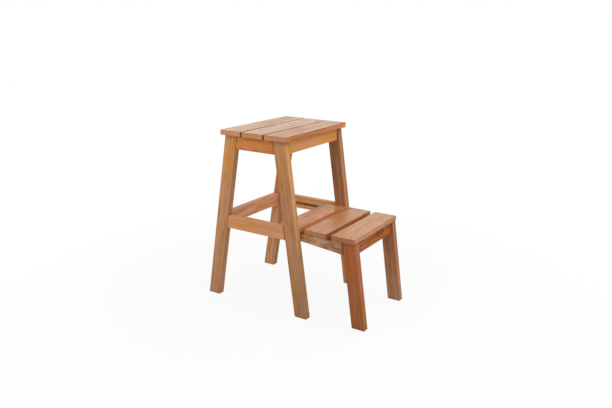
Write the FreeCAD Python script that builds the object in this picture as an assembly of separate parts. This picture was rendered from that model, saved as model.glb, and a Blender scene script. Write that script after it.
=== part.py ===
# A two-step wooden stool with a seat of three slats. Its lower step slides
# out of the frame on wooden runners, and pushes back in below the seat.
# Millimetres, +Z up, the step side faces -Y, the width runs along X.
# The origin is on the floor, in the middle of the box round the open stool.
import FreeCAD, Part
import math
import os

# Timber sections
leg_width = 38.0
leg_thickness = 20.0
board_thickness = 18.0
slat_width = 69.0
slat_thickness = 14.0

# Main frame
seat_height = 500.0
seat_overhang = 11.0
seat_slat_gap = 4.5
frame_width = 302.0
frame_depth = 345.0
splay_angle = 8.7
side_apron_height = 38.0
end_apron_height = 36.0
stretcher_height = 38.0
stretcher_bottom = 216.5
side_board_recess = 1.0
end_board_recess = 5.0

# Sliding step
step_height = 251.0
step_slat_gap = 14.5
step_side_gap = 1.0
step_slat_overhang = 6.0
step_apron_height = 33.0
rail_outer_height = 36.0
rail_inner_height = 17.0

# Runners that carry the step in the grooves of the side stretchers
runner_length = 33.0
runner_height = 8.0
groove_depth = 6.0
groove_play = 0.3
groove_end_play = 0.5
stop_play = 0.3

# Dowels
dowel_diameter = 8.0
frame_dowel_length = 30.0
depth_in_leg_width = 15.0
depth_in_leg_thickness = 12.0
slat_dowel_length = 18.0
slat_dowel_rise = 9.0
slat_dowel_spacing = 34.0
slat_dowel_edge = 12.0
dowel_hole_play = 0.5
dowel_chamfer = 0.8
apron_dowel_inset = 8.0
apron_dowel_pitch = 13.0
stretcher_dowel_inset = 7.5
stretcher_dowel_pitch = 23.0
step_dowel_inset = 7.0
step_dowel_pitch = 12.0

# Countersunk screws of the runners
screw_diameter = 3.0
screw_head_diameter = 6.0
screw_head_height = 1.8
screw_length = 20.0
screw_spacing = 22.0

# Worked edges
bar_edge_radius = 1.5
slat_edge_radius = 1.5
slat_under_radius = 0.8
outer_corner_radius = 3.5
gap_corner_radius = 1.6
foot_chamfer = 1.5

seat_slat_names = ("front", "middle", "back")
step_slat_names = ("outer", "middle", "inner")
same_level = 0.01

# Sizes that follow from the ones above
splay = math.tan(math.radians(splay_angle))
leg_depth = leg_width / math.cos(math.radians(splay_angle))
seat_half = frame_width / 2 + seat_overhang
leg_inner_x = frame_width / 2 - leg_thickness
board_outer_x = frame_width / 2 - side_board_recess
board_inner_x = board_outer_x - board_thickness
board_mid_x = board_outer_x - board_thickness / 2
apron_top = seat_height - slat_thickness
side_apron_bottom = apron_top - side_apron_height
end_apron_bottom = apron_top - end_apron_height
stretcher_top = stretcher_bottom + stretcher_height
rail_top = step_height - slat_thickness
step_apron_bottom = rail_top - step_apron_height
step_slat_half = leg_inner_x - step_side_gap
step_outer_x = step_slat_half - step_slat_overhang
step_inner_x = step_outer_x - leg_thickness
step_mid_x = step_outer_x - leg_thickness / 2


def slats_depth(names, gap):
    """Room that a row of slats takes, from front to back."""
    return len(names) * slat_width + (len(names) - 1) * gap


def front_leg_y(z):
    """Front face of the frame's front legs at a height."""
    return splay * z - frame_depth / 2


def leg_rear_y(z):
    """Rear face of the frame's front legs at a height."""
    return front_leg_y(z) + leg_depth


# The runners stop against the front legs, and the step is placed from there.
# Pushed in, their other ends stop against the back legs.
runner_front_y = leg_rear_y(rail_top) + stop_play
runner_rear_y = runner_front_y + runner_length
step_travel = -leg_rear_y(rail_top) - stop_play - runner_rear_y
step_front_y = runner_rear_y - slats_depth(step_slat_names, step_slat_gap)


def step_leg_y(z):
    """Front face of the step's legs at a height."""
    return step_front_y + splay * (z - rail_top)


# Brings the middle of the open stool's box to the origin
shift_y = -(step_leg_y(0) + frame_depth / 2) / 2


def vector(x, y, z):
    return FreeCAD.Vector(x, y, z)


along_x = vector(1, 0, 0)
along_y = vector(0, 1, 0)
upward = vector(0, 0, 1)


def end_board_y(leg_y, bottom, height):
    """Front face of a board set back between two legs, at its middle."""
    return leg_y(bottom + height / 2) + end_board_recess


apron_y = end_board_y(front_leg_y, end_apron_bottom, end_apron_height)
stretcher_y = end_board_y(front_leg_y, stretcher_bottom, stretcher_height)
step_apron_y = end_board_y(step_leg_y, step_apron_bottom, step_apron_height)


# Shapes that repeat

def block(x_from, x_to, y_from, y_to, z_from, z_to):
    size = (x_to - x_from, y_to - y_from, z_to - z_from)
    return Part.makeBox(*size, vector(x_from, y_from, z_from))


def side_prism(outline, x_from, x_to):
    """A bar with a (y, z) outline between two x planes."""
    points = [vector(x_from, y, z) for y, z in outline]
    face = Part.Face(Part.makePolygon(points + points[:1]))
    return face.extrude(along_x * (x_to - x_from))


def edges_along(shape, direction, closeness=0.98):
    """The straight edges that run within a few degrees of a direction."""
    length = direction.Length
    return [edge for edge in shape.Edges
            if abs(edge.tangentAt(edge.FirstParameter).dot(direction)) > closeness * length]


def edges_level(shape, z):
    """The edges that lie in a level plane."""
    return [edge for edge in shape.Edges
            if max(abs(edge.BoundBox.ZMin - z), abs(edge.BoundBox.ZMax - z)) < same_level]


def eased_bar(bar, direction):
    """Rounds the long edges of a bar."""
    return bar.makeFillet(bar_edge_radius, edges_along(bar, direction))


def splayed_leg(leg_y, top, x_from, x_to):
    """A leg that leans with the splay, level at its foot and its top."""
    outline = [(leg_y(0), 0), (leg_y(0) + leg_depth, 0),
               (leg_y(top) + leg_depth, top), (leg_y(top), top)]
    leg = side_prism(outline, x_from, x_to)
    leg = leg.makeChamfer(foot_chamfer, edges_level(leg, 0))
    return eased_bar(leg, vector(0, splay, 1))


def slat(half_length, front_y, top, row_ends):
    """A slat with eased edges, its corners rounder at the ends of its row."""
    bottom = top - slat_thickness
    board = block(-half_length, half_length, front_y, front_y + slat_width, bottom, top)
    for edge_y in (front_y, front_y + slat_width):
        at_row_end = min(abs(edge_y - end_y) for end_y in row_ends) < same_level
        corners = [edge for edge in edges_along(board, upward)
                   if abs(edge.CenterOfMass.y - edge_y) < same_level]
        radius = outer_corner_radius if at_row_end else gap_corner_radius
        board = board.makeFillet(radius, corners)
    board = board.makeFillet(slat_edge_radius, edges_level(board, top))
    return board.makeFillet(slat_under_radius, edges_level(board, bottom))


def row_ends(fronts):
    """The front and the back edge of a whole row of slats."""
    return fronts[0], fronts[-1] + slat_width


def side_board(bottom, top):
    """A board between a front and a back leg, its ends cut to their splay."""
    outline = [(leg_rear_y(bottom), bottom), (-leg_rear_y(bottom), bottom),
               (-leg_rear_y(top), top), (leg_rear_y(top), top)]
    return eased_bar(side_prism(outline, board_inner_x, board_outer_x), along_y)


def end_board(half_length, front_y, bottom, top):
    """A board that runs across the width."""
    board = block(-half_length, half_length, front_y, front_y + board_thickness, bottom, top)
    return eased_bar(board, along_x)


def mirrored(shape, normal):
    return shape.mirror(vector(0, 0, 0), normal)


# Dowels and their holes

class Dowels:
    """The dowels of one group, with the holes that they sit in."""

    def __init__(self):
        self.pegs = []
        self.holes = []

    def add(self, start, direction, length):
        peg = Part.makeCylinder(dowel_diameter / 2, length, start, direction)
        rims = [edge for edge in peg.Edges if edge.isClosed()]
        self.pegs.append(peg.makeChamfer(dowel_chamfer, rims))
        mouth = start - direction * dowel_hole_play
        depth = length + 2 * dowel_hole_play
        self.holes.append(Part.makeCylinder(dowel_diameter / 2, depth, mouth, direction))

    def drill(self, part):
        return part.cut(Part.makeCompound(self.holes))

    def group(self):
        return Part.makeCompound(self.pegs)


def dowel_levels(bottom, inset, pitch):
    """The heights of the two dowels at one end of a board."""
    return (bottom + inset, bottom + inset + pitch)


def add_side_dowels(dowels, levels):
    """Dowels from the ends of both side boards into the four legs."""
    depth_in_board = frame_dowel_length - depth_in_leg_width
    for z in levels:
        for side in (-1, 1):
            for end in (-1, 1):
                joint_y = -end * leg_rear_y(z)
                start = vector(side * board_mid_x, joint_y - end * depth_in_board, z)
                dowels.add(start, along_y * end, frame_dowel_length)


def add_end_dowels(dowels, front_y, inner_x, levels):
    """Dowels from the ends of a cross board into the two legs beside it."""
    start_x = inner_x + depth_in_leg_thickness - frame_dowel_length
    for z in levels:
        for side in (-1, 1):
            start = vector(side * start_x, front_y + board_thickness / 2, z)
            dowels.add(start, along_x * side, frame_dowel_length)


def add_slat_dowels(dowels, x, places, underside):
    """Upright dowels that hold the slats down, at the given y places."""
    for y in places:
        for side in (-1, 1):
            start = vector(side * x, y, underside + slat_dowel_rise - slat_dowel_length)
            dowels.add(start, upward, slat_dowel_length)


def slat_fronts(front_y, names, gap):
    """Where the front edge of each slat in a row lies."""
    return [front_y + number * (slat_width + gap) for number in range(len(names))]


seat_front_y = -slats_depth(seat_slat_names, seat_slat_gap) / 2
seat_fronts = slat_fronts(seat_front_y, seat_slat_names, seat_slat_gap)
step_fronts = slat_fronts(step_front_y, step_slat_names, step_slat_gap)


def seat_dowel_places():
    """One dowel in each leg top, one near it, and two under the middle slat."""
    in_leg = front_leg_y(apron_top) + leg_depth / 2
    in_apron = seat_fronts[0] + slat_width - slat_dowel_edge
    return [end * y for end in (-1, 1) for y in (in_leg, in_apron, slat_dowel_spacing / 2)]


def step_dowel_places():
    """One dowel in each leg top, and the others in the rails."""
    places = [step_leg_y(rail_top) + leg_depth / 2,
              step_fronts[0] + slat_width - slat_dowel_edge]
    for front in step_fronts[1:]:
        middle = front + slat_width / 2
        places += [middle - slat_dowel_spacing / 2, middle + slat_dowel_spacing / 2]
    return places


# The pieces, by name
parts = {}


def make_frame():
    """Legs, aprons, stretchers and seat, fixed to each other by dowels."""
    seat_dowels = Dowels()
    add_slat_dowels(seat_dowels, board_mid_x, seat_dowel_places(), apron_top)

    apron_dowels = Dowels()
    levels = dowel_levels(side_apron_bottom, apron_dowel_inset, apron_dowel_pitch)
    add_side_dowels(apron_dowels, levels)
    levels = dowel_levels(end_apron_bottom, apron_dowel_inset, apron_dowel_pitch)
    add_end_dowels(apron_dowels, apron_y, leg_inner_x, levels)
    add_end_dowels(apron_dowels, -apron_y - board_thickness, leg_inner_x, levels)

    stretcher_dowels = Dowels()
    levels = dowel_levels(stretcher_bottom, stretcher_dowel_inset, stretcher_dowel_pitch)
    back_y = -stretcher_y - board_thickness
    add_side_dowels(stretcher_dowels, levels)
    add_end_dowels(stretcher_dowels, back_y, leg_inner_x, levels)

    leg = splayed_leg(front_leg_y, apron_top, leg_inner_x, frame_width / 2)
    apron = side_board(side_apron_bottom, apron_top)
    stretcher = grooved_stretcher()
    sides = {"right": 1, "left": -1}
    for name, side in sides.items():
        front_leg = leg if side > 0 else mirrored(leg, along_x)
        parts["leg_front_" + name] = front_leg
        parts["leg_back_" + name] = mirrored(front_leg, along_y)
        parts["apron_" + name] = apron if side > 0 else mirrored(apron, along_x)
        parts["stretcher_" + name] = stretcher if side > 0 else mirrored(stretcher, along_x)
    front_apron = end_board(leg_inner_x, apron_y, end_apron_bottom, apron_top)
    parts["apron_front"] = front_apron
    parts["apron_back"] = mirrored(front_apron, along_y)
    parts["stretcher_back"] = end_board(leg_inner_x, back_y, stretcher_bottom, stretcher_top)
    for name, front_y in zip(seat_slat_names, seat_fronts):
        parts["seat_slat_" + name] = slat(seat_half, front_y, seat_height, row_ends(seat_fronts))

    for name in list(parts):
        for dowels in (seat_dowels, apron_dowels, stretcher_dowels):
            parts[name] = dowels.drill(parts[name])
    parts["dowels_seat_slats"] = seat_dowels.group()
    parts["dowels_aprons"] = apron_dowels.group()
    parts["dowels_stretchers"] = stretcher_dowels.group()


def grooved_stretcher():
    """The right side stretcher, grooved on its inner face for the runner.

    The cutting block is longer and wider than the groove, to pass the board's ends
    and its inner face.
    """
    groove = block(board_inner_x - groove_depth, board_inner_x + groove_depth,
                   -frame_depth / 2, frame_depth / 2,
                   rail_top - runner_height - groove_play, rail_top + groove_play)
    return side_board(stretcher_bottom, stretcher_top).cut(groove)


def tapered_rail():
    """The right rail, deep at the step's leg and slim at its inner end."""
    outer_bottom = rail_top - rail_outer_height
    outline = [(runner_rear_y, rail_top),
               (step_leg_y(rail_top) + leg_depth, rail_top),
               (step_leg_y(outer_bottom) + leg_depth, outer_bottom),
               (runner_rear_y, rail_top - rail_inner_height)]
    return eased_bar(side_prism(outline, step_inner_x, step_outer_x), along_y)


def screw(x, y, z):
    """A countersunk screw driven along -X, with its head flush at x."""
    head = Part.makeCone(screw_head_diameter / 2, screw_diameter / 2, screw_head_height,
                         vector(x, y, z), -along_x)
    shank = Part.makeCylinder(screw_diameter / 2, screw_length, vector(x, y, z), -along_x)
    return head.fuse(shank).removeSplitter()


def make_step():
    """The step that slides: legs, rails, apron, slats and runners."""
    slat_dowels = Dowels()
    add_slat_dowels(slat_dowels, step_mid_x, step_dowel_places(), rail_top)

    frame_dowels = Dowels()
    apron_levels = dowel_levels(step_apron_bottom, step_dowel_inset, step_dowel_pitch)
    add_end_dowels(frame_dowels, step_apron_y, step_inner_x, apron_levels)
    rail_bottom = rail_top - rail_outer_height
    for z in dowel_levels(rail_bottom, step_dowel_inset, step_dowel_pitch):
        joint_y = step_leg_y(z) + leg_depth
        for side in (-1, 1):
            start = vector(side * step_mid_x, joint_y - depth_in_leg_width, z)
            frame_dowels.add(start, along_y, frame_dowel_length)

    runner_outer_x = board_inner_x + groove_depth - groove_end_play
    runner = block(step_outer_x, runner_outer_x, runner_front_y, runner_rear_y,
                   rail_top - runner_height, rail_top)
    runner_middle = (runner_front_y + runner_rear_y) / 2
    screws = [screw(runner_outer_x, runner_middle + offset, rail_top - runner_height / 2)
              for offset in (-screw_spacing / 2, screw_spacing / 2)]
    rail = tapered_rail()
    for driven in screws:
        runner = runner.cut(driven)
        rail = rail.cut(driven)

    right = {"step_leg": splayed_leg(step_leg_y, rail_top, step_inner_x, step_outer_x),
             "step_rail": rail,
             "step_runner": runner}
    step = {}
    for name, shape in right.items():
        step[name + "_right"] = shape
        step[name + "_left"] = mirrored(shape, along_x)
    step["step_apron"] = end_board(step_inner_x, step_apron_y, step_apron_bottom, rail_top)
    for name, front_y in zip(step_slat_names, step_fronts):
        step["step_slat_" + name] = slat(step_slat_half, front_y, step_height,
                                         row_ends(step_fronts))
    for name, shape in step.items():
        parts[name] = frame_dowels.drill(slat_dowels.drill(shape))
    parts["dowels_step_slats"] = slat_dowels.group()
    parts["dowels_step_frame"] = frame_dowels.group()
    parts["screws_step_runners"] = Part.makeCompound(
        screws + [mirrored(driven, along_x) for driven in screws])


make_frame()
make_step()
print("step travel", round(step_travel, 2), "shift", round(shift_y, 3))
os.makedirs("parts", exist_ok=True)
for name, shape in parts.items():
    placed = shape.copy()
    placed.translate(vector(0, shift_y, 0))
    placed.exportStep("parts/" + name + ".step")
    print(name, len(placed.Solids), placed.isValid(), round(placed.Volume / 1000, 2))
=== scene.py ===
# The two-step stool in oiled hardwood, in a white studio. Metres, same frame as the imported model.
import math
from functools import partial
import bpy
from mathutils import Matrix, Vector

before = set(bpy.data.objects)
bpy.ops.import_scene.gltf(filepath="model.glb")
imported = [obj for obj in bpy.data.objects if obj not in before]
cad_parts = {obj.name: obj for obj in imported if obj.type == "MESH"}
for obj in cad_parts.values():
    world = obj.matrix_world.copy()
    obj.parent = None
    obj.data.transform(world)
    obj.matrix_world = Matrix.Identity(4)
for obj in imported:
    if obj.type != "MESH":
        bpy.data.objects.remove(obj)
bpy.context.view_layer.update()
print("frame loaded,", len(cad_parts), "nodes")


def toLinear(hexColour):
    # sRGB hex to linear red, green, blue and alpha
    channels = [int(hexColour[i:i + 2], 16) / 255 for i in (0, 2, 4)]
    linear = [c / 12.92 if c <= 0.04045 else ((c + 0.055) / 1.055) ** 2.4 for c in channels]
    return (*linear, 1)


def addNode(tree, kind, inputs=(), **settings):
    # inputs: a list in the order of the sockets, or a dictionary by socket name or number. Each is a
    # value, another node's socket, or another node, which then gives its first socket in use.
    node = tree.nodes.new(kind)
    for name, value in settings.items():
        setattr(node, name, value)
    sockets = inputs if isinstance(inputs, dict) else dict(enumerate(inputs))
    for key, value in sockets.items():
        if isinstance(value, bpy.types.Node):
            value = next(socket for socket in value.outputs if socket.enabled)
        if isinstance(value, bpy.types.NodeSocket):
            tree.links.new(value, node.inputs[key])
        else:
            node.inputs[key].default_value = value
    return node


def newMaterial(name):
    # an empty material, and the function that adds nodes to it
    material = bpy.data.materials.new(name)
    material.use_nodes = True
    material.node_tree.nodes.clear()
    return material, partial(addNode, material.node_tree)


def dress(piece, material):
    piece.data.materials.clear()
    piece.data.materials.append(material)


smooth = {"interpolation_type": "SMOOTHSTEP"}     # a soft start and end for each fade

# Oiled eucalyptus, sawn, planed and sanded along the grain. Straight fibres in brown streaks,
# faint growth layers, small open pores, and a satin oil that veils the tops in a flat view.
# sizeMm is a pattern's length and width, shown the noise values at which it starts and is full
# (and its least and most strength, where four are given), darkens its share in the wood's
# darkness, and reachMm how far it moves the grain.
timber = {
    # one year's growth
    "layers": {"widthMm": 5.5, "distortion": 1.2, "detail": 2.0, "detailScale": 0.4, "darkens": 0.20},
    # long brown streaks
    "streaks": {"sizeMm": (260, 6.5), "detail": 2.5, "shown": (0.33, 0.67), "darkens": 0.40},
    # thin dark lines of late wood; the width is how far apart they lie
    "veins": {"sizeMm": (380, 11), "detail": 2.0, "shown": (0.035, 0.005), "darkens": 0.35},
    "fibres": {"sizeMm": (70, 1.3), "detail": 2.5, "roughness": 0.6, "shown": (0.3, 0.7),
               "darkens": 0.30},
    # real pores are about 0.2 mm wide; these are drawn coarser so that they show
    "pores": {"sizeMm": (9, 0.55), "detail": 1.0, "shown": (0.62, 0.74)},
    "poreTint": (0.681, 0.615, 0.571, 1),
    # the slow bend of all grain, and the short bends of figured boards with their light and dark
    "wander": {"sizeMm": (190, 60), "detail": 1.5, "reachMm": 7},
    "waves": {"sizeMm": (34, 26), "detail": 1.5, "reachMm": 5},
    "clouds": {"sizeMm": (34, 26), "detail": 2.0},
    # patches of redder and yellower wood
    "drift": {"sizeMm": (150, 45), "detail": 1.0, "shown": (0.3, 0.7), "hue": (0.4965, 0.5035),
              "saturation": (0.94, 1.06)},
    "earlyWood": (1.22, 1.27, 1.32),       # pale wood against the board's tone
    "lateWood": (0.70, 0.61, 0.53),        # dark wood against the board's tone
    # how squarely a face looks along the grain, or to the front, where its tint starts and is full
    "cutEnd": (0.55, 0.9),
    "narrowFace": (0.5, 0.85),
    "endFade": 0.7,                        # share of the lines that a cut end loses
    # what is added to the roughness, by the wood from a darkness of 0.1 to 0.9
    "dulling": {"wood": (0.1, 0.9, -0.1, 0.12), "pores": 0.12, "endGrain": 0.14, "edgeWearAndLight": 0.15},
    # how far each stands out of the surface, or is sunk in it
    "relief": {"fibres": 0.5, "pores": -1.0, "knotRim": -0.3},
}

# A brown knot: dark core, pale halo and a broken dark rim. Distances are shares of its radius.
knot = {
    "outline": {"sizeMm": (14, 9), "detail": 1.5, "reachMm": 4.5},    # how uneven it is
    "flatness": (0.45, 1, 0.3),            # under 1 is longer that way: along, across and into the board
    "parting": 0.75,                       # how far the grain makes way
    "closing": 0.35,                       # how soon it closes again
    "core": (0.5, 0.26),                   # where it starts and is full
    "halo": (0.62, 0.32),                  # middle of the ring and half its width
    "rim": (1.1, 0.45),
    "ringFull": 0.05,                      # half the width over which a ring is full
    "breaks": {"sizeMm": (16, 7), "detail": 2.0, "shown": (0.3, 0.6, 0.35, 1.0)},     # in the rim
    "coreTint": (0.2, 0.12, 0.09, 1),
    "haloTint": (1.18, 1.162, 1.12, 1),
    "rimTint": (0.334, 0.253, 0.208, 1),
}

# What sanding leaves on a board's edges, and painted light and shade on its edges, in its grooves and
# housings and along its joints: where each starts and is full
handwork = {
    # eased edges: worn, with painted shade on the slats' and, in part, a painted highlight on the frame's
    "edgeWearAndLightMm": (3.2, 0.8),                # in from an edge
    "edgeWearAndLightPatches": {"sizeMm": (30, 12), "detail": 2.0, "shown": (0.3, 0.65, 0.35, 1.0)},
    # painted shade in grooves and housings
    "recessShadeMm": (0.8, 3.0),                # below the board's own faces
    "recessShadeTint": (0.6, 0.5, 0.43, 1),
    # painted shade: a thin dark line along joints and below the slats
    "seamShadeMm": (3.4, 0.4),                  # from the board that it meets
    "seamShadeTint": (0.27, 0.18, 0.13, 1),
}

timberInputs = {
    "Place": "Vector", "Cut": "Vector", "Half size": "Vector", "Normal": "Vector", "Tone": "Color",
    "Far tone": "Color", "Edge axis": "Vector", "Edge tint": "Color", "Back edge tint": "Color",
    "End tint": "Color", "Worn tint": "Color", "Seams": "Vector", "Top seam": "Float",
    "Figure": "Float", "Streaks": "Float", "Knot": "Vector", "Knot size": "Float", "Sanding": "Float"}
timberOutputs = {"Colour": "Color", "Roughness": "Float", "Height": "Float"}


def grainNoise(add, place, pattern):
    # smooth noise in patches of a real size, long with the grain and narrow across it
    lengthMm, widthMm = pattern["sizeMm"]
    perMetre = (1000 / lengthMm, 1000 / widthMm, 1000 / widthMm)
    stretched = add("ShaderNodeVectorMath", [place, perMetre], operation="MULTIPLY")
    return add("ShaderNodeTexNoise", {"Vector": stretched, "Scale": 1.0, "Detail": pattern["detail"],
                                      "Roughness": pattern.get("roughness", 0.55)})


def bend(add, place, pattern, strength=1.0):
    # moves the grain sideways by smooth noise, which lies round 0.5
    noise = grainNoise(add, place, pattern)
    push = add("ShaderNodeVectorMath", [noise.outputs["Color"], (0.5, 0.5, 0.5)], operation="SUBTRACT")
    reach = add("ShaderNodeMath", [strength, pattern["reachMm"] * 2 / 1000], operation="MULTIPLY")
    sideways = add("ShaderNodeCombineXYZ", {"Y": reach, "Z": reach})
    moved = add("ShaderNodeVectorMath", [push, sideways], operation="MULTIPLY")
    return add("ShaderNodeVectorMath", [place, moved], operation="ADD")


def weightedSum(add, start, parts):
    # start plus each part times its weight
    total = start
    for part, weight in parts:
        total = add("ShaderNodeMath", [part, weight, total], operation="MULTIPLY_ADD")
    return total


def addKnot(add, given, grain):
    # the grain parts round a knot and closes behind it
    fromKnot = add("ShaderNodeVectorMath", [given["Place"], given["Knot"]], operation="SUBTRACT")
    outline = bend(add, fromKnot, knot["outline"])
    flattened = add("ShaderNodeVectorMath", [outline, knot["flatness"]], operation="MULTIPLY")
    distance = add("ShaderNodeVectorMath", [flattened], operation="LENGTH")
    share = add("ShaderNodeMath", [distance, given["Knot size"]], operation="DIVIDE")
    squared = add("ShaderNodeMath", [share, share], operation="MULTIPLY")
    fall = add("ShaderNodeMath", [squared, -knot["closing"]], operation="MULTIPLY")
    swirl = add("ShaderNodeMath", [fall], operation="EXPONENT")
    across = add("ShaderNodeSeparateXYZ", [fromKnot]).outputs["Y"]
    parting = add("ShaderNodeMath", [across, swirl], operation="MULTIPLY")
    parting = add("ShaderNodeMath", [parting, -knot["parting"]], operation="MULTIPLY")
    sideways = add("ShaderNodeCombineXYZ", {"Y": parting})
    parted = add("ShaderNodeVectorMath", [grain, sideways], operation="ADD")

    core = add("ShaderNodeMapRange", [share, *knot["core"]], **smooth)
    rings = []
    for middle, halfWidth in (knot["halo"], knot["rim"]):
        off = add("ShaderNodeMath", [share, middle], operation="SUBTRACT")
        off = add("ShaderNodeMath", [off], operation="ABSOLUTE")
        rings.append(add("ShaderNodeMapRange", [off, halfWidth, knot["ringFull"]], **smooth))
    halo, rim = rings
    breaks = grainNoise(add, fromKnot, knot["breaks"])
    breaks = add("ShaderNodeMapRange", [breaks, *knot["breaks"]["shown"]], **smooth)
    rim = add("ShaderNodeMath", [rim, breaks], operation="MULTIPLY")
    return parted, core, halo, rim


def woodLines(add, grain):
    patterns = ("streaks", "veins", "fibres", "pores")
    noises = {name: grainNoise(add, grain, timber[name]) for name in patterns}
    # veins lie where their noise crosses its middle value
    offMiddle = add("ShaderNodeMath", [noises["veins"], 0.5], operation="SUBTRACT")
    noises["veins"] = add("ShaderNodeMath", [offMiddle], operation="ABSOLUTE")
    lines = {name: add("ShaderNodeMapRange", [noise, *timber[name]["shown"]], **smooth)
             for name, noise in noises.items()}
    # at scale 1, one ring of the wave texture is 2 pi / 20 wide
    layers = timber["layers"]
    rings = add("ShaderNodeTexWave", {
        "Vector": grain, "Scale": 2 * math.pi / 20 * 1000 / layers["widthMm"],
        "Distortion": layers["distortion"], "Detail": layers["detail"],
        "Detail Scale": layers["detailScale"]},
        wave_type="RINGS", rings_direction="X", wave_profile="SIN")
    lines["layers"] = rings.outputs["Fac"]
    return lines, noises["fibres"]


def edgeWearAndRecessShade(add, given, log):
    toFaces = add("ShaderNodeVectorMath", [given["Place"]], operation="ABSOLUTE")
    toFaces = add("ShaderNodeVectorMath", [given["Half size"], toFaces], operation="SUBTRACT")
    faceX, faceY, faceZ = add("ShaderNodeSeparateXYZ", [toFaces]).outputs
    nearer = add("ShaderNodeMath", [faceX, faceY], operation="MINIMUM")
    farther = add("ShaderNodeMath", [faceX, faceY], operation="MAXIMUM")
    # edges are eased by hand with sandpaper and wear there; their tint paints shade on the slats' rounded
    # edges and, in part, a highlight on the frame's. The second nearest face is as far as the edge
    second = add("ShaderNodeMath", [farther, faceZ], operation="MINIMUM")
    second = add("ShaderNodeMath", [nearer, second], operation="MAXIMUM")
    start, full = handwork["edgeWearAndLightMm"]
    edgeWearAndLight = add("ShaderNodeMapRange", [second, start / 1000, full / 1000], **smooth)
    patches = grainNoise(add, log, handwork["edgeWearAndLightPatches"])
    patches = add("ShaderNodeMapRange", [patches, *handwork["edgeWearAndLightPatches"]["shown"]], **smooth)
    edgeWearAndLight = add("ShaderNodeMath", [edgeWearAndLight, patches], operation="MULTIPLY")
    # painted shade: grooves and housings are darkened, as shade falls in them
    depth = add("ShaderNodeMath", [nearer, faceZ], operation="MINIMUM")
    start, full = handwork["recessShadeMm"]
    recessShade = add("ShaderNodeMapRange", [depth, start / 1000, full / 1000], **smooth)
    return edgeWearAndLight, recessShade


def seamShade(add, given):
    # painted shade: where a board butts against a leg, or carries the slats, a thin dark line is painted
    # where shade falls
    placeX, placeY = add("ShaderNodeSeparateXYZ", [given["Place"]]).outputs[:2]
    halfX, halfY = add("ShaderNodeSeparateXYZ", [given["Half size"]]).outputs[:2]
    lowSeamShade, highSeamShade, slant = add("ShaderNodeSeparateXYZ", [given["Seams"]]).outputs
    # the ends lean with the legs, so they lie further in at one edge
    steepness = add("ShaderNodeMath", [slant], operation="ABSOLUTE")
    lean = add("ShaderNodeMath", [halfY, steepness], operation="MULTIPLY")
    lean = add("ShaderNodeMath", [placeY, slant, lean], operation="MULTIPLY_ADD")
    halfLength = add("ShaderNodeMath", [halfX, lean], operation="SUBTRACT")
    toLow = add("ShaderNodeMath", [halfLength, placeX], operation="ADD")
    toHigh = add("ShaderNodeMath", [halfLength, placeX], operation="SUBTRACT")
    toTop = add("ShaderNodeMath", [halfY, placeY], operation="SUBTRACT")
    start, full = handwork["seamShadeMm"]
    paintedSeamShade = 0.0
    for distance, strength in ((toLow, lowSeamShade), (toHigh, highSeamShade), (toTop, given["Top seam"])):
        shade = add("ShaderNodeMapRange", [distance, start / 1000, full / 1000], **smooth)
        shade = add("ShaderNodeMath", [shade, strength], operation="MULTIPLY")
        paintedSeamShade = add("ShaderNodeMath", [paintedSeamShade, shade], operation="MAXIMUM")
    return paintedSeamShade


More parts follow.
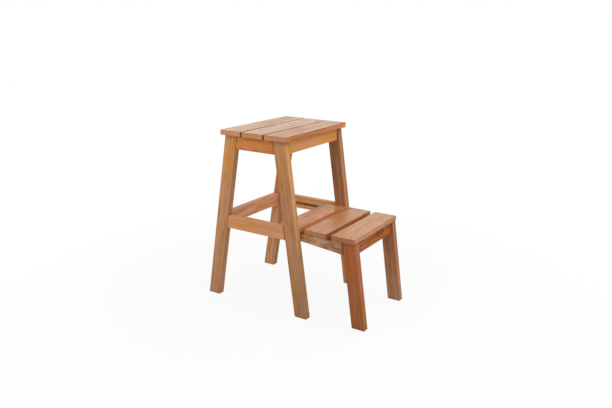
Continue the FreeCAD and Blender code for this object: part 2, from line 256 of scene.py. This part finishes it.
def makeTimberGroup():
    group = bpy.data.node_groups.new("oiledEucalyptusGrain", "ShaderNodeTree")
    for direction, sockets in (("INPUT", timberInputs), ("OUTPUT", timberOutputs)):
        for name, kind in sockets.items():
            group.interface.new_socket(name, in_out=direction, socket_type="NodeSocket" + kind)
    add = partial(addNode, group)
    given = add("NodeGroupInput").outputs
    log = add("ShaderNodeVectorMath", [given["Place"], given["Cut"]], operation="ADD")
    grain = bend(add, log, timber["wander"])
    grain = bend(add, grain, timber["waves"], given["Figure"])
    grain, knotCore, knotHalo, knotRim = addKnot(add, given, grain)
    lines, fibres = woodLines(add, grain)

    # on a cut end the fibres show as fine dots, so they stand out less there
    alongGrain = add("ShaderNodeSeparateXYZ", [given["Normal"]]).outputs["X"]
    alongGrain = add("ShaderNodeMath", [alongGrain], operation="ABSOLUTE")
    endGrain = add("ShaderNodeMapRange", [alongGrain, *timber["cutEnd"]], **smooth)
    sideGrain = weightedSum(add, 1.0, [(endGrain, -timber["endFade"])])
    pores = add("ShaderNodeMath", [lines["pores"], sideGrain], operation="MULTIPLY")

    # how dark the wood is, against the middle between early and late wood
    darkLines = ("streaks", "layers", "fibres", "veins")
    contrast = weightedSum(add, -0.5, [(lines[name], timber[name]["darkens"]) for name in darkLines])
    contrast = add("ShaderNodeMath", [contrast, sideGrain], operation="MULTIPLY")
    cloud = grainNoise(add, grain, timber["clouds"])
    cloud = add("ShaderNodeMath", [cloud, 0.5], operation="SUBTRACT")
    contrast = add("ShaderNodeMath", [cloud, given["Figure"], contrast], operation="MULTIPLY_ADD")
    darkness = add("ShaderNodeMath", [contrast, given["Streaks"], 0.5], operation="MULTIPLY_ADD")

    # 6 and 7 are the Mix node's two colours
    alongShare = add("ShaderNodeVectorMath", [given["Place"], given["Half size"]], operation="DIVIDE")
    alongShare = add("ShaderNodeSeparateXYZ", [alongShare]).outputs["X"]
    alongShare = add("ShaderNodeMath", [alongShare, 0.5, 0.5], operation="MULTIPLY_ADD")
    tone = add("ShaderNodeMix", {"Factor": alongShare, 6: given["Tone"], 7: given["Far tone"]},
               data_type="RGBA")
    early = add("ShaderNodeVectorMath", [tone, timber["earlyWood"]], operation="MULTIPLY")
    late = add("ShaderNodeVectorMath", [tone, timber["lateWood"]], operation="MULTIPLY")
    wood = add("ShaderNodeMix", {"Factor": darkness, 6: early, 7: late}, data_type="RGBA")
    drift = timber["drift"]
    driftNoise = grainNoise(add, log, drift)
    warmth = add("ShaderNodeMapRange", [driftNoise, *drift["shown"], *drift["hue"]], **smooth)
    depth = add("ShaderNodeMapRange", [driftNoise, *drift["shown"], *drift["saturation"]], **smooth)
    wood = add("ShaderNodeHueSaturation", {"Hue": warmth, "Saturation": depth, "Color": wood})

    # the narrow faces were cut another way through the layers; their tint also paints light and shade on
    # them
    toFront = add("ShaderNodeVectorMath", [given["Normal"], given["Edge axis"]], operation="DOT_PRODUCT")
    start, full = timber["narrowFace"]
    frontEdge = add("ShaderNodeMapRange", [toFront, start, full], **smooth)
    backEdge = add("ShaderNodeMapRange", [toFront, -start, -full], **smooth)
    edgeWearAndLight, recessShade = edgeWearAndRecessShade(add, given, log)
    paintedSeamShade = seamShade(add, given)
    # across the grain the open pores drink the oil, so a cut end mostly goes darker and duller. The end
    # and narrow-face tints are partly the wood's own and partly painted light and shade on those faces;
    # the tints along joints, in grooves and on the slats' edges paint shade, and the frame's paler
    # edges are partly a painted highlight.
    tints = ((pores, timber["poreTint"]), (knotRim, knot["rimTint"]), (knotHalo, knot["haloTint"]),
             (knotCore, knot["coreTint"]), (endGrain, given["End tint"]),
             (frontEdge, given["Edge tint"]), (backEdge, given["Back edge tint"]),
             (edgeWearAndLight, given["Worn tint"]), (recessShade, handwork["recessShadeTint"]),
             (paintedSeamShade, handwork["seamShadeTint"]))
    for share, tint in tints:
        wood = add("ShaderNodeMix", {"Factor": share, 6: wood, 7: tint}, data_type="RGBA",
                   blend_type="MULTIPLY")

    # late wood takes less oil and stays duller
    dulling = timber["dulling"]
    rough = add("ShaderNodeMapRange", [darkness, *dulling["wood"]], **smooth)
    rough = add("ShaderNodeMath", [rough, given["Sanding"]], operation="ADD")
    rough = weightedSum(add, rough, [(pores, dulling["pores"]), (endGrain, dulling["endGrain"]),
                                     (edgeWearAndLight, dulling["edgeWearAndLight"])])
    relief = timber["relief"]
    height = weightedSum(add, 0.0, [(fibres, relief["fibres"]), (pores, relief["pores"]),
                                    (knotRim, relief["knotRim"])])
    add("NodeGroupOutput", {"Colour": wood, "Roughness": rough, "Height": height})
    return group


timberGroup = makeTimberGroup()
print("timber grain made")


def boardAxes(piece, grainRun):
    # the board's own axes (along the grain, across it and through it), its middle and its half sizes
    along = Vector(grainRun).normalized()
    across = Vector((0, 0, 1)) if abs(along.z) < 0.5 else Vector((0, 1, 0))
    across = (across - across.dot(along) * along).normalized()
    turn = Matrix((along, across, along.cross(across))).transposed()
    points = [turn.transposed() @ vertex.co for vertex in piece.data.vertices]
    lowest = Vector([min(point[i] for point in points) for i in range(3)])
    highest = Vector([max(point[i] for point in points) for i in range(3)])
    return turn, turn @ ((lowest + highest) / 2), (highest - lowest) / 2


# Slats are sanded finer than the frame, so the oil on them is glossier. The slats' eased edges are
# darkened with painted shade, and the frame's edges are paler, partly where sanding cut through the
# oil and partly a painted highlight.
oilFilm = {
    "ior": 1.48,
    "reliefMm": 0.2,
    "reliefStrength": 0.5,
    "slat": {"roughness": 0.33, "specular": 0.36, "edgeWearAndLightTint": (0.84, 0.75, 0.68, 1)},
    "frame": {"roughness": 0.48, "specular": 0.08, "edgeWearAndLightTint": (1.08, 1.1, 1.12, 1)},
}

# what a board has unless it says otherwise; its knot lies metres away
plainBoard = {
    "edgeToneAndLight": (1, 1, 1), "endToneAndLight": (0.87, 0.82, 0.78), "seamShades": (0, 0, 0), "topSeamShade": 0,
    "figure": 0.25, "streaks": 1.0, "knot": (9, 9, 9), "knotSize": 0.001}


def oiledEucalyptus(name, piece, board):
    # one board's own cut from the log
    material, add = newMaterial("oiledEucalyptus." + name)
    look = {**plainBoard, "farTone": board["tone"], **board}
    oil = oilFilm["slat" if "_slat_" in name else "frame"]
    turn, middle, half = boardAxes(piece, look["grain"])
    # the two narrow faces lie across the wider way, and one of them looks to the front or up
    narrow = 1 if half.y > half.z else 2
    frontOrUp = Vector((0, -1, 0.5))
    edgeAxis = [0, 0, 0]
    edgeAxis[narrow] = 1 if turn.col[narrow].dot(frontOrUp) > 0 else -1

    coords = add("ShaderNodeTexCoord").outputs
    rotation = turn.to_euler()
    place = add("ShaderNodeMapping", {"Vector": coords["Object"], "Location": middle,
                                      "Rotation": rotation}, vector_type="TEXTURE")
    facing = add("ShaderNodeMapping", {"Vector": coords["Normal"], "Rotation": rotation},
                 vector_type="TEXTURE")
    grain = add("ShaderNodeGroup", {
        "Place": place, "Normal": facing, "Cut": look["cut"], "Half size": half,
        "Tone": toLinear(look["tone"]), "Far tone": toLinear(look["farTone"]), "Edge axis": edgeAxis,
        "Edge tint": (*look["edgeToneAndLight"], 1),
        "Back edge tint": (*look.get("backToneAndLight", look["edgeToneAndLight"]), 1),
        "End tint": (*look["endToneAndLight"], 1), "Worn tint": oil["edgeWearAndLightTint"], "Seams": look["seamShades"],
        "Top seam": look["topSeamShade"], "Figure": look["figure"], "Streaks": look["streaks"],
        "Knot": look["knot"], "Knot size": look["knotSize"], "Sanding": oil["roughness"],
    }, node_tree=timberGroup).outputs
    bump = add("ShaderNodeBump", {"Height": grain["Height"], "Strength": oilFilm["reliefStrength"],
                                  "Distance": oilFilm["reliefMm"] / 1000})
    surface = add("ShaderNodeBsdfPrincipled", {
        "Base Color": grain["Colour"], "Roughness": grain["Roughness"], "Normal": bump,
        "IOR": oilFilm["ior"], "Specular IOR Level": oil["specular"]})
    add("ShaderNodeOutputMaterial", {"Surface": surface})
    return material


# the legs lean 8.7 degrees from upright, the front ones backwards as they rise
leanAngle = math.radians(8.7)
leanRise = math.tan(leanAngle)
leanBack = (0, math.sin(leanAngle), math.cos(leanAngle))
leanForward = (0, -math.sin(leanAngle), math.cos(leanAngle))
alongWidth = (1, 0, 0)
alongDepth = (0, 1, 0)
upright = (0, 0, 1)

# grain: which way the fibres run. cut: the board's place in the log, from the pith, in metres.
# tone: its colour, or that of its left, front or lower end where farTone gives the other end.
# edgeToneAndLight: its narrow faces, or only the front or upper one where backToneAndLight gives the
# other.
# endToneAndLight: its cut ends. Both are partly the wood's own tint and partly painted light and shade on
# those faces. streaks: their contrast. figure: how wavy it is. seams: painted shade at its left,
# front or lower end, at the other end, and the slope of those ends. topSeamShade: painted shade along
# its top.
# knot: its place along, across and into the board, from the board's middle, and knotSize its
# radius, in metres.
boards = {
    "seat_slat_front": {"grain": alongWidth, "tone": "B0825B", "farTone": "A97B54",
        "cut": (0.31, 0.085, 0.040), "streaks": 1.5, "edgeToneAndLight": (1.4, 0.9, 0.35),
        "backToneAndLight": (0.6, 0.4, 0.35), "endToneAndLight": (1.35, 1.2, 1.45)},
    "seat_slat_middle": {"grain": alongWidth, "tone": "B99370", "cut": (1.27, 0.022, 0.110),
        "streaks": 1.5, "edgeToneAndLight": (0.8, 0.55, 0.4), "backToneAndLight": (0.6, 0.4, 0.35),
        "endToneAndLight": (1.3, 0.9, 0.75)},
    "seat_slat_back": {"grain": alongWidth, "tone": "B58C67", "cut": (2.43, 0.060, 0.075),
        "streaks": 1.5, "edgeToneAndLight": (0.8, 0.55, 0.4), "backToneAndLight": (1.1, 0.95, 0.8),
        "endToneAndLight": (1.4, 1.15, 1.1)},
    "step_slat_outer": {"grain": alongWidth, "tone": "BC895D", "cut": (3.12, 0.030, 0.120),
        "streaks": 0.8, "figure": 0.6, "edgeToneAndLight": (1.15, 0.85, 0.5), "endToneAndLight": (0.85, 0.65, 0.65)},
    "step_slat_middle": {"grain": alongWidth, "tone": "B68052", "cut": (4.71, 0.090, 0.050),
        "streaks": 1.2, "figure": 0.4, "edgeToneAndLight": (0.85, 0.6, 0.4), "endToneAndLight": (1.0, 0.9, 1.05)},
    "step_slat_inner": {"grain": alongWidth, "tone": "C37E3D", "cut": (5.36, 0.015, 0.095),
        "streaks": 1.2, "edgeToneAndLight": (1.15, 1.0, 1.15)},
    "apron_front": {"grain": alongWidth, "tone": "E69F58", "cut": (6.15, 0.070, 0.030),
        "streaks": 0.45, "seamShades": (1, 1, 0), "topSeamShade": 1},
    "apron_back": {"grain": alongWidth, "tone": "C98B55", "cut": (7.82, 0.020, 0.085),
        "seamShades": (1, 1, 0), "topSeamShade": 1},
    "apron_left": {"grain": alongDepth, "tone": "CE7E43", "farTone": "DF9049",
        "cut": (8.24, 0.010, 0.070), "figure": 0.9, "seamShades": (1, 1, leanRise), "topSeamShade": 1},
    "apron_right": {"grain": alongDepth, "tone": "C98B55", "cut": (9.53, 0.095, 0.020),
        "seamShades": (1, 1, leanRise), "topSeamShade": 1},
    "stretcher_left": {"grain": alongDepth, "tone": "DE9E6D", "cut": (10.41, 0.025, 0.105),
        "streaks": 0.55, "seamShades": (1, 1, leanRise), "edgeToneAndLight": (0.85, 0.95, 1.15)},
    "stretcher_right": {"grain": alongDepth, "tone": "ECAB70", "farTone": "E4A36D",
        "cut": (11.67, 0.080, 0.040), "seamShades": (1, 1, leanRise), "edgeToneAndLight": (0.9, 1.15, 1.45)},
    "stretcher_back": {"grain": alongWidth, "tone": "EDAB7A", "cut": (12.28, 0.012, 0.080),
        "seamShades": (1, 1, 0), "edgeToneAndLight": (1.0, 1.1, 1.15)},
    "step_apron": {"grain": alongWidth, "tone": "AE6126", "cut": (13.9, 0.018, 0.085),
        "streaks": 1.4, "figure": 0.7, "knot": (0.030, 0.006, 0.009), "knotSize": 0.0072,
        "seamShades": (1, 1, 0), "topSeamShade": 1},
    "step_rail_left": {"grain": alongDepth, "tone": "A4744C", "farTone": "EBC099",
        "cut": (14.33, 0.014, 0.060), "streaks": 1.6, "figure": 2.2, "seamShades": (1, 0, leanRise),
        "topSeamShade": 1},
    "step_rail_right": {"grain": alongDepth, "tone": "B6825A", "cut": (15.77, 0.075, 0.035),
        "seamShades": (1, 0, leanRise), "topSeamShade": 1},
    "step_runner_left": {"grain": alongDepth, "tone": "C0915F", "cut": (16.2, 0.040, 0.060)},
    "step_runner_right": {"grain": alongDepth, "tone": "C0915F", "cut": (17.6, 0.055, 0.045)},
    "leg_front_left": {"grain": leanBack, "tone": "B0805B", "farTone": "CD9263",
        "cut": (18.4, 0.090, 0.030), "streaks": 0.9, "seamShades": (0, 1, -leanRise),
        "edgeToneAndLight": (1.2, 1.25, 1.15)},
    "leg_front_right": {"grain": leanBack, "tone": "D39E79", "farTone": "AF8160",
        "cut": (19.5, 0.060, 0.070), "streaks": 1.2, "seamShades": (0, 1, -leanRise),
        "edgeToneAndLight": (1.05, 0.95, 0.85)},
    "leg_back_left": {"grain": leanForward, "tone": "C3906D", "farTone": "D4965E",
        "cut": (20.8, 0.100, 0.020), "streaks": 0.9, "seamShades": (0, 1, leanRise),
        "edgeToneAndLight": (0.95, 1.05, 1.15)},
    # its narrow front face is darkened with painted shade
    "leg_back_right": {"grain": leanForward, "tone": "DCA072", "farTone": "CF956C",
        "cut": (21.3, 0.050, 0.085), "streaks": 1.3, "seamShades": (0, 1, leanRise),
        "edgeToneAndLight": (0.6, 0.65, 0.75)},
    "step_leg_left": {"grain": leanBack, "tone": "A76733", "farTone": "B66B3C",
        "cut": (22.6, 0.095, 0.045), "streaks": 0.75, "seamShades": (0, 1, -leanRise),
        "edgeToneAndLight": (1.1, 1.15, 1.4)},
    "step_leg_right": {"grain": leanBack, "tone": "C08E70", "farTone": "B17A54",
        "cut": (23.9, 0.070, 0.060), "streaks": 1.1, "seamShades": (0, 1, -leanRise),
        "edgeToneAndLight": (1.0, 0.85, 0.6)},
    "dowels_seat_slats": {"grain": upright, "tone": "C9A071", "cut": (24.1, 0.05, 0.05)},
    "dowels_aprons": {"grain": alongWidth, "tone": "C9A071", "cut": (25.2, 0.05, 0.05)},
    "dowels_stretchers": {"grain": alongWidth, "tone": "C9A071", "cut": (26.4, 0.05, 0.05)},
    "dowels_step_slats": {"grain": upright, "tone": "C9A071", "cut": (27.5, 0.05, 0.05)},
    "dowels_step_frame": {"grain": alongDepth, "tone": "C9A071", "cut": (28.8, 0.05, 0.05)},
}
for name, board in boards.items():
    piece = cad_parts[name]
    dress(piece, oiledEucalyptus(name, piece, board))
print("boards dressed:", len(boards))

# zinc-plated steel, cold-headed and tumbled: pale grey, a little cloudy
zincSteel = {
    "cloudMm": 1.11,
    "tones": ("B9BCC0", "9EA2A6"),     # bright and clouded
    "roughness": (0.28, 0.45),
    "reliefMm": 0.1,
    "reliefStrength": 0.2,
}


def zincPlatedSteel():
    material, add = newMaterial("zincPlatedSteel")
    coords = add("ShaderNodeTexCoord").outputs
    cloud = add("ShaderNodeTexNoise", {"Vector": coords["Object"], "Scale": 1000 / zincSteel["cloudMm"],
                                       "Detail": 3.0})
    bright, clouded = zincSteel["tones"]
    colour = add("ShaderNodeMix", {"Factor": cloud, 6: toLinear(bright), 7: toLinear(clouded)},
                 data_type="RGBA")
    smoothest, dullest = zincSteel["roughness"]
    rough = add("ShaderNodeMapRange", {"Value": cloud, "To Min": smoothest, "To Max": dullest})
    bump = add("ShaderNodeBump", {"Height": cloud, "Strength": zincSteel["reliefStrength"],
                                  "Distance": zincSteel["reliefMm"] / 1000})
    surface = add("ShaderNodeBsdfPrincipled", {
        "Base Color": colour, "Roughness": rough, "Normal": bump, "Metallic": 1.0})
    add("ShaderNodeOutputMaterial", {"Surface": surface})
    return material


dress(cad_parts["screws_step_runners"], zincPlatedSteel())
print("screws dressed")

# White studio: a pale floor and an even white room, which the camera and reflections see at full strength
studio = {
    "floorSize": 14.0,           # metres
    "floorTone": "E7E7E5",
    "floorShown": (0.9, 1.0),    # share of plain white that the camera sees, by the stool and far off
    "floorFade": (0.4, 1.0),     # metres from the stool
    "roomStrength": 0.4,         # what the room sheds on the stool
    "softboxSize": 1.0,          # metres, square
    "softboxAim": (0, 0, 0.25),
}
plainWhite = {"Color": (1, 1, 1, 1), "Strength": 1.0}

# place in metres, and watts
softboxes = {
    "leftSoftbox": ((-1.10, 0.35, 1.21), 6.8),
    "frontSoftbox": ((0.0, -1.15, 1.21), 5.0),
    "overheadSoftbox": ((0.55, -0.32, 1.61), 7.7),
    "frontTopSoftbox": ((0.0, -0.63, 1.61), 2.9),
    "backSoftbox": ((0.32, 0.55, 1.61), 1.5),
}


def seenDirectly(add):
    # camera, reflection and refraction rays
    path = add("ShaderNodeLightPath").outputs
    either = add("ShaderNodeMath", [path["Is Camera Ray"], path["Is Glossy Ray"]], operation="MAXIMUM")
    return add("ShaderNodeMath", [either, path["Is Transmission Ray"]], operation="MAXIMUM")


def paintedStudioFloor():
    # matt pale paint, seen as all but plain white, which leaves a faint shadow round the feet
    material, add = newMaterial("paintedStudioFloor")
    paint = add("ShaderNodeBsdfDiffuse", {"Color": toLinear(studio["floorTone"])})
    white = add("ShaderNodeEmission", plainWhite)
    place = add("ShaderNodeTexCoord").outputs["Object"]
    away = add("ShaderNodeVectorMath", [place], operation="LENGTH")
    share = add("ShaderNodeMapRange", [away, *studio["floorFade"], *studio["floorShown"]], **smooth)
    shown = add("ShaderNodeMath", [seenDirectly(add), share], operation="MULTIPLY")
    mixed = add("ShaderNodeMixShader", [shown, paint, white])
    add("ShaderNodeOutputMaterial", {"Surface": mixed})
    return material


def makeFloor():
    half = studio["floorSize"] / 2
    corners = [(-half, -half, 0), (half, -half, 0), (half, half, 0), (-half, half, 0)]
    mesh = bpy.data.meshes.new("floor")
    mesh.from_pydata(corners, [], [(0, 1, 2, 3)])
    mesh.materials.append(paintedStudioFloor())
    floor = bpy.data.objects.new("floor", mesh)
    bpy.context.scene.collection.objects.link(floor)


def makeRoom():
    world = bpy.data.worlds.new("whiteRoom")
    bpy.context.scene.world = world
    world.use_nodes = True
    world.node_tree.nodes.clear()
    add = partial(addNode, world.node_tree)
    light = add("ShaderNodeBackground", {"Color": (1, 1, 1, 1), "Strength": studio["roomStrength"]})
    white = add("ShaderNodeBackground", plainWhite)
    mixed = add("ShaderNodeMixShader", [seenDirectly(add), light, white])
    add("ShaderNodeOutputWorld", {"Surface": mixed})


def makeSoftbox(name, place, power):
    lamp = bpy.data.lights.new(name, "AREA")
    lamp.shape = "SQUARE"
    lamp.size = studio["softboxSize"]
    lamp.energy = power
    holder = bpy.data.objects.new(name, lamp)
    bpy.context.scene.collection.objects.link(holder)
    holder.location = place
    towards = Vector(studio["softboxAim"]) - Vector(place)
    holder.rotation_euler = towards.to_track_quat("-Z", "Y").to_euler()


makeFloor()
makeRoom()
for name, (place, power) in softboxes.items():
    makeSoftbox(name, place, power)
print("studio lit")

# The photograph's viewpoint, found from the stool's own edges
viewpoint = {
    "place": (-1.4719, -0.9059, 0.7831),
    "heading": -58.11,           # degrees from +Y, seen from above
    "tilt": -16.21,
    "roll": 0.85,
    "lensMm": 36.66,
    "sensorMm": 36.0,
    "clip": (0.05, 60),          # metres
}


def makeCamera():
    camera = bpy.data.objects.new("camera", bpy.data.cameras.new("camera"))
    bpy.context.scene.collection.objects.link(camera)
    camera.data.lens = viewpoint["lensMm"]
    camera.data.sensor_width = viewpoint["sensorMm"]
    camera.data.sensor_fit = "HORIZONTAL"
    camera.data.clip_start, camera.data.clip_end = viewpoint["clip"]
    turns = (("Z", viewpoint["heading"]), ("X", 90 + viewpoint["tilt"]), ("Z", viewpoint["roll"]))
    stand = Matrix.Translation(viewpoint["place"])
    for axis, degrees in turns:
        stand = stand @ Matrix.Rotation(math.radians(degrees), 4, axis)
    camera.matrix_world = stand
    bpy.context.scene.camera = camera


makeCamera()
bpy.context.scene.view_settings.view_transform = "Standard"
print("camera placed")
